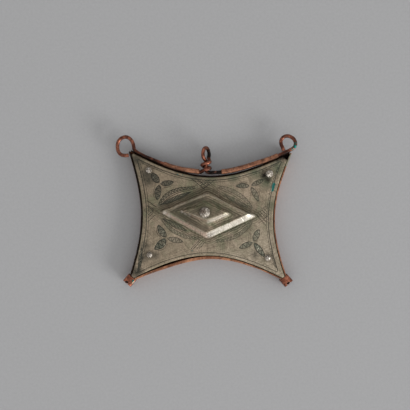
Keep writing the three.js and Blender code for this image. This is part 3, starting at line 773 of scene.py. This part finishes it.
# An arc of two lines with cuts between them spans each side of the lozenge, with a third
# line inside it, and a long leaf lies between the arc and the slope.
ARCS = [
    ([(-26.1, 4.8), (-23.1, 9.9), (-17.3, 13.4), (-5.8, 14.6)], 1.1, (-24.5, 5.4), (-9.0, 12.0), 0.75),
    ([(3.4, 15.2), (10.6, 13.6), (17.6, 9.4), (22.5, 2.8)], 0.45, (19.4, 4.0), (7.0, 10.6), 0.35),
    ([(-4.2, -12.0), (-11.6, -11.4), (-19.6, -7.6), (-25.0, -1.0)], 0.6, (-23.4, -1.4), (-11.0, -8.0), 0.5),
    ([(22.2, -2.2), (18.6, -7.4), (11.6, -12.0), (1.8, -13.6)], 0.45, (19.8, -3.2), (7.0, -8.8), 0.15),
]
for points, weight, base, tip, leaf_weight in ARCS:
    outer = smoothed(points, 10)
    aside = across(unit(np.gradient(outer, axis=0)))
    inward = np.sign((LOZENGE_MIDDLE - outer[15]) @ aside[15])
    taper = np.sin(np.pi * np.linspace(0.04, 0.96, 31))[:, None] ** 0.6
    inner = outer + aside * inward * 1.8 * taper
    for line in (outer, inner, outer + aside * inward * 2.7 * taper):
        engrave(line[1:-1], 0.3, weight)
    inked.append((np.vstack([outer, inner[::-1]]), 0.4 * weight))
    zigzag(outer[2:-2], inner[2:-2], 0.8, weight)
    leaf(base, tip, 2.0, 0.75 * leaf_weight, 0, 2.2, 1.0)

# Pairs of lines cross from the lozenge's tips to the border, with a lattice where they meet.
BANDS = [
    [(-26.6, 4.2), (-31.4, 7.6)], [(-27.4, 2.9), (-31.3, 5.3)], [(-27.2, 0.4), (-31.2, -3.4)],
    [(-28.2, 1.3), (-31.2, -1.4)], [(-28.0, 2.6), (-30.9, 0.3)], [(-28.0, 2.2), (-31.2, 4.9)],
    [(-2.2, 12.9), (-9.2, 18.6)], [(-0.8, 14.0), (-7.2, 18.8)], [(-3.4, 13.4), (3.2, 18.2)],
    [(-4.8, 14.6), (0.9, 18.4)], [(-3.6, -11.9), (-8.8, -17.2)], [(-4.7, -11.9), (-9.5, -16.9)],
    [(-1.8, -12.8), (-5.4, -16.8)], [(-3.0, -12.6), (-6.6, -16.8)],
]
for band in BANDS:
    engrave(band, 0.36, 0.95)


def lattice(apex, way_a, way_b, rows, weight):
    """Lines across a corner, beside each of its two sides."""
    apex, way_a, way_b = (np.array(place, float) for place in (apex, way_a, way_b))
    for row in range(rows):
        share = row / rows
        engrave([apex + way_a * share, apex + way_a * share + way_b * (1 - share)], 0.26, weight)
        engrave([apex + way_b * share, apex + way_b * share + way_a * (1 - share)], 0.26, weight)


lattice((23.4, 0.3), (5.4, 5.4), (5.4, -6.0), 6, 0.55)
lattice((-2.6, 19.4), (4.4, -4.6), (-4.8, -4.6), 7, 0.55)

# Two lines follow each edge, the inner one finer, with cuts between them towards the
# corners. Those of the lower edge are worn faint and have no cuts.
for edge, depths in BORDERS.items():
    lines = []
    neighbours = ("left", "right") if edge in ("top", "bottom") else ("top", "bottom")
    for index, depth in enumerate(depths):
        line = beside(edge, np.linspace(0.02, 0.98, BORDER_POINTS), -depth)
        keep = np.ones(BORDER_POINTS, bool)
        for other in neighbours:
            wall = beside(other, np.linspace(0, 1, 120), 0)
            gaps = np.linalg.norm(line[:, None] - wall[None], axis=2).min(1)
            keep &= gaps > BORDERS[other][index] - 0.05
        lines.append(line[keep])
        weight = 0.5 if edge == "bottom" else 1.0
        engrave(line[keep], 0.48 - 0.2 * index, weight - 0.35 * index)
    if edge != "bottom":
        outer, inner = (resampled(line, 60) for line in lines)
        zigzag(outer[1:12], inner[1:12], 0.9, 0.45)
        zigzag(outer[-12:-1], inner[-12:-1], 0.9, 0.6)

# Knives and buckles have left stray scratches all over it.
chance = np.random.default_rng(11)
for _ in range(46):
    start = chance.uniform((-34, -26), (34, 26))
    turn = chance.uniform(0, 2 * np.pi)
    reach = chance.uniform(2, 9) * np.array([np.cos(turn), np.sin(turn)])
    engrave([start, start + reach], 0.13, chance.uniform(0.1, 0.28))


def cut_depth(points):
    """How deep the graver went at each point, as a share of a full cut."""
    depth = np.zeros(len(points))
    for line, width, weight in strokes:
        low, high = line.min(0) - width, line.max(0) + width
        close = np.flatnonzero(((points > low) & (points < high)).all(1))
        here = points[close]
        ends = np.full(len(line), weight)
        ends[[0, -1]] = 0
        for at in range(len(line) - 1):
            way = line[at + 1] - line[at]
            share = np.clip((here - line[at]) @ way / (way @ way), 0, 1)
            off = np.linalg.norm(here - line[at] - share[:, None] * way, axis=1)
            full = ends[at] + (ends[at + 1] - ends[at]) * share
            depth[close] = np.maximum(depth[close], full * np.clip(1 - off / (width / 2), 0, 1))
    return depth


def inked_at(points):
    """How strongly the tarnish inside leaves and bands darkens each point."""
    shade = np.zeros(len(points))
    for outline, weight in inked:
        shade = np.maximum(shade, weight * enclosed(points, outline))
    return shade


def triangulated(loops, lines, spacing):
    """Triangles inside the first loop and outside the others, along lines drawn on them."""
    points, edges = [], []
    for loop in loops:
        first, count = len(points), len(loop)
        points.extend(loop)
        edges.extend((first + at, first + (at + 1) % count) for at in range(count))
    looped = len(points)
    for line in lines:
        edges.extend((len(points) + at, len(points) + at + 1) for at in range(len(line) - 1))
        points.extend(line)
    taken = kdtree.KDTree(len(points))
    for index, (x, y) in enumerate(points):
        taken.insert((x, y, 0), index)
    taken.balance()
    low, high = loops[0].min(0), loops[0].max(0)
    columns, rows = (np.arange(low[axis], high[axis], spacing) for axis in (0, 1))
    grid = np.array([(x + spacing / 2 * (row % 2), y) for row, y in enumerate(rows) for x in columns])
    grid = grid[enclosed(grid, loops[0])]
    for loop in loops[1:]:
        grid = grid[~enclosed(grid, loop)]
    points.extend(p for p in grid if taken.find((*p, 0))[2] > spacing * 0.45)
    drawn = delaunay_2d_cdt([Vector(p) for p in points], edges, [], 0, 1e-4, True)
    places, triangles = np.array([tuple(p) for p in drawn[0]]), np.array(drawn[2])
    middles = places[triangles].mean(1)
    kept = enclosed(middles, loops[0])
    for loop in loops[1:]:
        kept &= ~enclosed(middles, loop)
    home = np.full(looped, -1)
    for index, sources in enumerate(drawn[3]):
        for source in sources:
            if source < looped:
                home[source] = index
    return places, triangles[kept], home


def level_lines(spacing):
    """Lines round the lozenge where its slopes begin, turn and end."""
    lines = []
    for at in range(3):
        below, above = np.array(CONTOURS[at][0]), np.array(CONTOURS[at + 1][0])
        for share in (0.0, 0.12, 0.35, 0.65, 0.88, 1.0):
            tips = below * (1 - share) + above * share
            for start, end in zip(tips, np.roll(tips, -1, 0)):
                count = max(2, int(np.linalg.norm(end - start) / spacing))
                lines.append(start + (end - start) * np.linspace(0, 1, count)[:, None])
    return lines


def cover_mesh():
    """The cover as one closed sheet of metal: face, folded sides and inside."""
    around = np.linspace(0, 2 * np.pi, HOLE_POINTS, endpoint=False)
    ring = np.column_stack([np.cos(around), np.sin(around)])
    holes = [middle + (0.95 if radius > LARGE else 0.7) * ring for middle, radius in stud_rings]
    scored = level_lines(1.0)
    for line, width, _ in strokes:
        sides = across(unit(np.gradient(line, axis=0))) * width / 2
        sides[[0, -1]] = 0
        scored += [line, line + sides, line - sides]
    face, face_triangles, face_home = triangulated([inset(face_loop, 0.45), *holes], scored, 1.0)
    inner_loops = [inset(face_loop, 0.6), *holes]
    inner, inner_triangles, inner_home = triangulated(inner_loops, level_lines(2.0), 2.5)
    height, masks = cover_form(face)
    masks["cut"] = cut_depth(face)
    masks["inked"] = inked_at(face)
    top = np.column_stack([face, height - FULL_CUT * masks["cut"]])
    under = np.column_stack([inner, cover_form(inner)[0] - COVER_SHEET])
    count = len(face_loop)
    points, rows = [top], [face_home[:count]]
    total = len(top)
    # Each fold of the sheet is given by how far in it lies and how high.
    folds = [(0.2, 8.12), (0.06, 7.98), (0.0, 7.72), (0.02, 5.2), (0.05, 2.8), (0.0, 0.92)]
    folds += [(0.08, COVER_FOOT), (0.46, COVER_FOOT), (0.54, 0.92), (0.54, 4.0), (0.54, 7.2)]
    for away, level in folds:
        points.append(np.column_stack([inset(face_loop, away), np.full(count, level)]))
        rows.append(np.arange(total, total + count))
        total += count
    points.append(under)
    rows.append(inner_home[:count] + total)
    faces = [*face_triangles, *(inner_triangles[:, ::-1] + total)]
    for upper, lower in zip(rows, rows[1:]):
        faces.extend(zip(upper, lower, np.roll(lower, -1), np.roll(upper, -1)))
    for first in range(count, count + HOLE_POINTS * len(holes), HOLE_POINTS):
        one_hole = slice(first, first + HOLE_POINTS)
        above, below = face_home[one_hole], inner_home[one_hole] + total
        faces.extend(zip(above, np.roll(above, -1), np.roll(below, -1), below))
    points = np.vstack(points) * MM
    mesh = bpy.data.meshes.new("engraved_cover")
    mesh.from_pydata(points.tolist(), [], [[int(corner) for corner in face] for face in faces])
    masks["edge"] = np.zeros(len(top))
    for name, values in masks.items():
        rest = np.full(len(points) - len(top), FAR_OUTSIDE if name == "slope" else 0.0)
        rest[: 3 * count] = 1.0 if name == "edge" else rest[0]
        layer = mesh.attributes.new(name, "FLOAT", "POINT")
        layer.data.foreach_set("value", np.concatenate([values, rest]).astype(np.float32))
    work = bmesh.new()
    work.from_mesh(mesh)
    bmesh.ops.recalc_face_normals(work, faces=work.faces)
    bpy.data.meshes.remove(mesh)
    return work


# Nickel silver: a yellowish grey metal that goes brown and green as it tarnishes, with a roughness near
# 0.35 where it is bare. It is darker to the upper left, black in the cuts, greenish round the slopes, filed
# in fine rows along them, and bright on its crests with wear. Painted shade lies on the upper and left
# sides of the lozenge and round the studs, and painted highlights on its lower bevels, on the lower side of
# the inner crest and at the left tips.
nickel_silver, tree, place = named_material("tarnished nickel silver")
clouds = patches(tree, place, 14.0, (0.36, 0.64, 0, 1), 5.0, 0.5)
blotches = patches(tree, place, 3.4, (0.4, 0.66, 0, 1), 5.0, 0.6, 0.5)
grain = patches(tree, place, 0.8, (0.4, 0.62, 0, 1), 3.0, 0.0, 0.2)
film = patches(tree, place, 7.0, (0.42, 0.64, 0, 0.75), 5.0, 0.8, 0.4)
feet = patches(tree, place, 8.0, (0.3, 0.6, 0.35, 0.85), 4.0, 0.0, 0.8)
inside = patches(tree, place, 2.4, (0.3, 0.66, 0.3, 0.7), 4.0, 0.3, 0.3)
across_plate = add(tree, "ShaderNodeMapping", {"Vector": place, "Rotation": (0, 0, math.radians(52))})
along = add(tree, "ShaderNodeSeparateXYZ", {0: across_plate}, 0)
lower_right = add(tree, "ShaderNodeMapRange", {0: along, 1: 8 * MM, 2: 30 * MM})
upper_left = add(tree, "ShaderNodeMapRange", {0: along, 1: 16 * MM, 2: -30 * MM})
near_slope = carried(tree, "slope", (-6.0, -0.5, 0.0, 1.0))
greened = carried(tree, "slope", (-11.0, -0.5, 0.2, 1.0))
bevel = carried(tree, "bevel")
ledge = carried(tree, "ledge")
cut = carried(tree, "cut")
edge = carried(tree, "edge")
waver = patches(tree, place, 5.0, EVENLY, 3.0)
rows = summed(tree, 0.0, (carried(tree, "slope", (-10, 10, -20, 20)), 1.0), (waver, 1.6))
rows = add(tree, "ShaderNodeMath", {0: rows, 1: 1.0}, operation="PINGPONG")
filed = add(tree, "ShaderNodeMapRange", {0: rows, 1: 0.62, 2: 0.12})
file_marks = add(tree, "ShaderNodeMath", {0: filed, 1: near_slope}, operation="MULTIPLY")
colour = laid_over(
    tree,
    linear("#CDB8A0"),
    ("#AC9C86", clouds),
    ("#6E604D", upper_left, 0.48),
    ("#D6CDB8", lower_right, 0.3),
    ("#7E735F", blotches, 0.5),
    ("#717D5E", film, greened),
    ("#5C503D", ledge, 0.66),
    ("#39332A", file_marks, patches(tree, place, 8.0, (0.4, 0.56, 0.3, 0.85))),
    # The lower bevels carry a pale painted highlight, and the lower left ones a rosy painted light.
    ("#CBC5BA", bevel, patches(tree, place, 5.0, (0.3, 0.6, 0.6, 0.95))),
    ("#E0BEA8", carried(tree, "rosy_painted_light"), 0.6),
)
# Pale spots are painted highlights on the left tips of the lozenge's steps.
tips = [(-22.3, 1.2, 9.2, 1.5), (-20.2, -0.2, 9.2, 1.4), (-13.8, 1.5, 11.0, 1.1)]
tips += [(-12.0, 0.75, 11.0, 1.3), (-10.2, 0.0, 11.0, 1.2)]
colour = crusts_and_painted_spots(tree, place, colour, "#EFE4D8", tips, 0.6)
colour = laid_over(
    tree,
    colour,
    # Tarnish at the feet of the slopes and painted shade on the upper and left sides of the lozenge, then
    # painted shade round the studs.
    ("#403E30", carried(tree, "feet_tarnish_and_shade"), feet),
    ("#3A352B", carried(tree, "shaded"), 0.45),
    ("#54493A", grain, 0.32),
)
for angle, shift in ((0.35, 0.2), (-0.8, 0.6), (1.5, 0.4)):
    marks = scratches(tree, place, angle, shift, (0.56, 0.7, 0, 0.45))
    colour = laid_over(tree, colour, ("#54493A", marks))
colour = laid_over(
    tree,
    colour,
    # The crests brighten with wear, and the lower side of the inner crest with painted highlight.
    ("#CFC4B2", carried(tree, "wear_and_sheen"), patches(tree, place, 4.0, (0.4, 0.6, 0.05, 0.45))),
    ("#78735F", edge, patches(tree, place, 5.0, (0.4, 0.6, 0.3, 0.9))),
    ("#52655A", carried(tree, "inked"), inside),
    ("#43342A", carried(tree, "inked", (0, 1, 0, 0.6)), upper_left),
)
# Brown stains and green ones lie on the face, blurred at their edges. The brown spots beside the upper
# right and lower right studs and in the upper right corner are painted shadow and shade, and the black
# spots are painted shade in the upper right corner and painted shadow beside the upper right stud.
brown = [(27.2, 19.4, 2.8), (34.4, 27.0, 3.0), (22.9, -19.4, 2.0), (-36.5, 28.0, 4.0)]
brown += [(-32.2, -15.2, 2.4), (-27.2, -19.9, 1.9), (-7.2, 20.3, 3.2), (-31.5, 21.0, 3.2)]
brown += [(-33.5, -21.0, 2.6), (-36.2, -28.5, 4.6), (-30.5, 17.5, 3.6)]
green = [(22.8, 21.5, 4.2), (28.5, 16.5, 4.2), (34.2, 23.5, 4.6), (31.5, 5.5, 2.6)]
green += [(12.0, 19.5, 3.2), (1.0, 19.5, 3.0)]
shade_spots = [(36.9, 29.2, 2.4), (33.8, 28.6, 1.5), (27.4, 20.2, 2.3), (29.2, 17.8, 1.7)]
for tint, blur, spots in (("#48443A", 2.2, brown), ("#666954", 2.4, green), (SHADE_BLACK, 1.2, shade_spots)):
    spots = [(x, y, COVER_FACE, size) for x, y, size in spots]
    colour = crusts_and_painted_spots(tree, place, colour, tint, spots, blur)
inked_cut = add(tree, "ShaderNodeMapRange", {0: cut, 1: 0.02, 2: 0.36})
colour = laid_over(tree, colour, ("#25251C", inked_cut, 0.92))
spots = [(32.2 - 0.16 * step, 15.6 - 0.62 * step, 1.1 if step < 3 else 0.9) for step in range(6)]
spots += [(-8.6, -17.6, 0.35), (-16.0, 20.5, 0.4), (-13.5, 20.3, 0.3)]
colour = crusts_and_painted_spots(tree, place, colour, VERDIGRIS, [(x, y, COVER_FACE, size) for x, y, size in spots])
dull = summed(tree, 0.38, (clouds, 0.06), (ledge, 0.1), (grain, 0.06), (bevel, -0.06), (edge, 0.2))
bright = summed(tree, 0.82, (ledge, -0.3), (cut, -0.5), (bevel, 0.1))
marks = summed(tree, 0.0, (grain, 1.0), (blotches, 0.8), (file_marks, -1.2))
marks = summed(tree, marks, (scratches(tree, place, 0.35, 0.2), 0.6))
calm = summed(tree, 1.0, (bevel, -0.95))
marks = add(tree, "ShaderNodeMath", {0: marks, 1: calm}, operation="MULTIPLY")
surface(tree, colour, bright, dull, marks, 0.045)
cover = finished(cover_mesh(), "engraved_cover", 26)
seated(cover, "cover", "nickel_silver", nickel_silver, "front_cover")

# Five domed rivets of brighter silver go through the cover: four small ones near the corners and a larger
# one on the lozenge. Each was hammered over a shank that passes through the sheet and is spread behind it,
# so its dome is faceted. Each dome is darker at the foot, partly with dirt and partly with painted shade.
TAIL_SPREAD = 0.5
DOME_FOOT = 0.06
silver, tree, place = named_material("hammered silver")
clouds = patches(tree, place, 1.3, (0.4, 0.6, 0, 1), 4.0, 0.6)
pits = patches(tree, place, 0.7, (0.48, 0.64, 0, 0.95), 3.0, 0.4, 0.3)
colour = laid_over(tree, linear("#E0D7CB"), ("#8A7F72", clouds), ("#3F382F", pits))
# Painted shade darkens the upper left side of the large rivet.
colour = crusts_and_painted_spots(tree, place, colour, "#5A493C", [(-3.3, 2.3, 13.2, 1.9)], 0.9)
# The foot of each dome is darker, partly dirt and partly painted shade.
colour = laid_over(tree, colour, ("#2E2922", carried(tree, "dome", (0.12, 0.0, 0, 0.9))))
beaten = summed(tree, 0.0, (clouds, 1.0), (pits, -0.5))
surface(tree, colour, 0.5, summed(tree, 0.34, (clouds, 0.16)), beaten, 0.2)


def hammered_rivet():
    """A Geometry Nodes tree that turns a rivet's outline round and beats its dome."""
    sockets = [("Outline", "Geometry"), ("Middle", "Vector"), ("Seat", "Float"), ("Top", "Float")]
    sockets += [("Blow size", "Float"), ("Blow depth", "Float"), ("Seed", "Float")]
    group, given = with_sockets("rivet", [*sockets, ("Material", "Material")])
    outline = add(group, "GeometryNodeMeshToCurve", {0: given["Outline"]})
    circle = add(group, "GeometryNodeCurvePrimitiveCircle", {"Resolution": 36, "Radius": MM})
    metal = add(group, "GeometryNodeCurveToMesh", {0: circle, 1: outline})
    metal = add(group, "GeometryNodeMergeByDistance", {0: metal, "Distance": MERGED * MM})
    where = add(group, "GeometryNodeInputPosition")
    level = add(group, "ShaderNodeSeparateXYZ", {0: where}, 2)
    dome = add(group, "ShaderNodeMapRange", {0: level, 1: given["Seat"], 2: given["Top"]})
    inputs = {"Vector": where, "W": given["Seed"], "Scale": given["Blow size"], "Detail": 1.0}
    blows = add(group, "ShaderNodeTexNoise", inputs, 1, noise_dimensions="4D")
    blows = add(group, "ShaderNodeVectorMath", {0: blows, 1: (0.5, 0.5, 0.75)}, operation="SUBTRACT")
    strength = add(group, "ShaderNodeMath", {0: dome, 1: given["Blow depth"]}, operation="MULTIPLY")
    push = add(group, "ShaderNodeVectorMath", {0: blows, 3: strength}, operation="SCALE")
    push = add(group, "ShaderNodeVectorMath", {0: push, 1: given["Middle"]}, operation="ADD")
    metal = add(group, "GeometryNodeStoreNamedAttribute", {0: metal, 2: "dome", 3: dome})
    metal = add(group, "GeometryNodeSetPosition", {0: metal, 3: push})
    return given_material(group, metal, given["Material"])


rivet_tree = hammered_rivet()
for number, node in enumerate(STUDS):
    middle, radius, low, high = stud_place(node)
    large = radius > LARGE
    seat = COVER_FACE + (CONTOURS[-1][1] + 0.02 if large else 0)
    behind = seat - COVER_SHEET
    shank = 0.8 if large else 0.55
    tail = shank + TAIL_SPREAD
    outline = [(0, low), (shank, low), (tail, (low + behind) / 2), (tail, behind)]
    outline += [(shank, behind), (shank, seat), (radius - 0.1, seat)]
    rise = high - seat - DOME_FOOT
    for turn in np.linspace(0, np.pi / 2, 12)[:-1]:
        outline.append((radius * math.cos(turn), seat + DOME_FOOT + rise * math.sin(turn)))
    outline.append((0, high))
    line = [(r - 1, -z, 0) for r, z in outline]
    values = {"Middle": (*middle * MM, 0), "Seat": seat * MM, "Top": high * MM, "Seed": number * 7.0}
    values |= {"Blow size": 700.0, "Blow depth": (0.55 if large else 0.3) * MM, "Material": silver}
    rivet = grown_along(node.replace("stud", "rivet"), line, rivet_tree, values)
    made_plain(rivet)
    seated(rivet, "cover", "stud_silver", silver, node)

# The object lies on its back on a sheet of pale grey paper with a faint tooth.
FLOOR_REACH = 2.0
corners = [(x * FLOOR_REACH, y * FLOOR_REACH, 0) for x, y in ((-1, -1), (1, -1), (1, 1), (-1, 1))]
floor_mesh = bpy.data.meshes.new("grey_paper")
floor_mesh.from_pydata(corners, [], [(0, 1, 2, 3)])
floor = in_scene("grey_paper", floor_mesh)
paper, tree, place = named_material("grey paper")
tooth = patches(tree, place, 1.2)
surface(tree, laid_over(tree, linear("#A2A2A3"), ("#A8A8A9", tooth)), 0.0, 0.9, tooth, 0.02)
floor_mesh.materials.append(paper)

# Soft daylight comes low from the lower right, in a grey room that is paler on that side.
ROOM = (0.63, 1.2)
PALE_SIDE = (math.radians(-66), math.radians(8))
WINDOW_WATTS = 54.0
WINDOW_SIZE = (1.4, 0.9)
WINDOW_AWAY = 3.0
world = bpy.data.worlds.new("room")
world.use_nodes = True
tree = world.node_tree
tree.nodes.clear()
turn, rise = PALE_SIDE
pale = (math.cos(turn) * math.cos(rise), math.sin(turn) * math.cos(rise), math.sin(rise))
way = add(tree, "ShaderNodeTexCoord", None, "Generated")
nearness = add(tree, "ShaderNodeVectorMath", {0: way, 1: pale}, "Value", operation="DOT_PRODUCT")
inputs = {0: nearness, 1: 0.3, 2: 1.0, 3: ROOM[0], 4: ROOM[1]}
grey = add(tree, "ShaderNodeMapRange", inputs, interpolation_type="SMOOTHSTEP")
add(tree, "ShaderNodeOutputWorld", {0: add(tree, "ShaderNodeBackground", {0: grey})})
bpy.context.scene.world = world
window = bpy.data.lights.new("window", "AREA")
window.shape = "RECTANGLE"
window.size, window.size_y = WINDOW_SIZE
window.energy = WINDOW_WATTS
lamp = in_scene("window", window)
bearing, height = math.radians(-36), math.radians(22)
flat = math.cos(height)
towards = Vector((math.cos(bearing) * flat, math.sin(bearing) * flat, math.sin(height)))
lamp.location = towards * WINDOW_AWAY
lamp.rotation_euler = (-towards).to_track_quat("-Z", "Y").to_euler()

# The camera looks straight down from 42 cm.
CAMERA_HEIGHT = 420.0
HALF_FRAME = 102.5
camera_data = bpy.data.cameras.new("camera")
camera_data.sensor_width = 36
camera_data.lens = camera_data.sensor_width / 2 * (CAMERA_HEIGHT - COVER_FACE) / HALF_FRAME
camera = in_scene("camera", camera_data)
camera.location = [part * MM for part in (-2.25, 5.25, CAMERA_HEIGHT)]
bpy.context.scene.camera = camera
bpy.context.scene.view_settings.view_transform = "Standard"
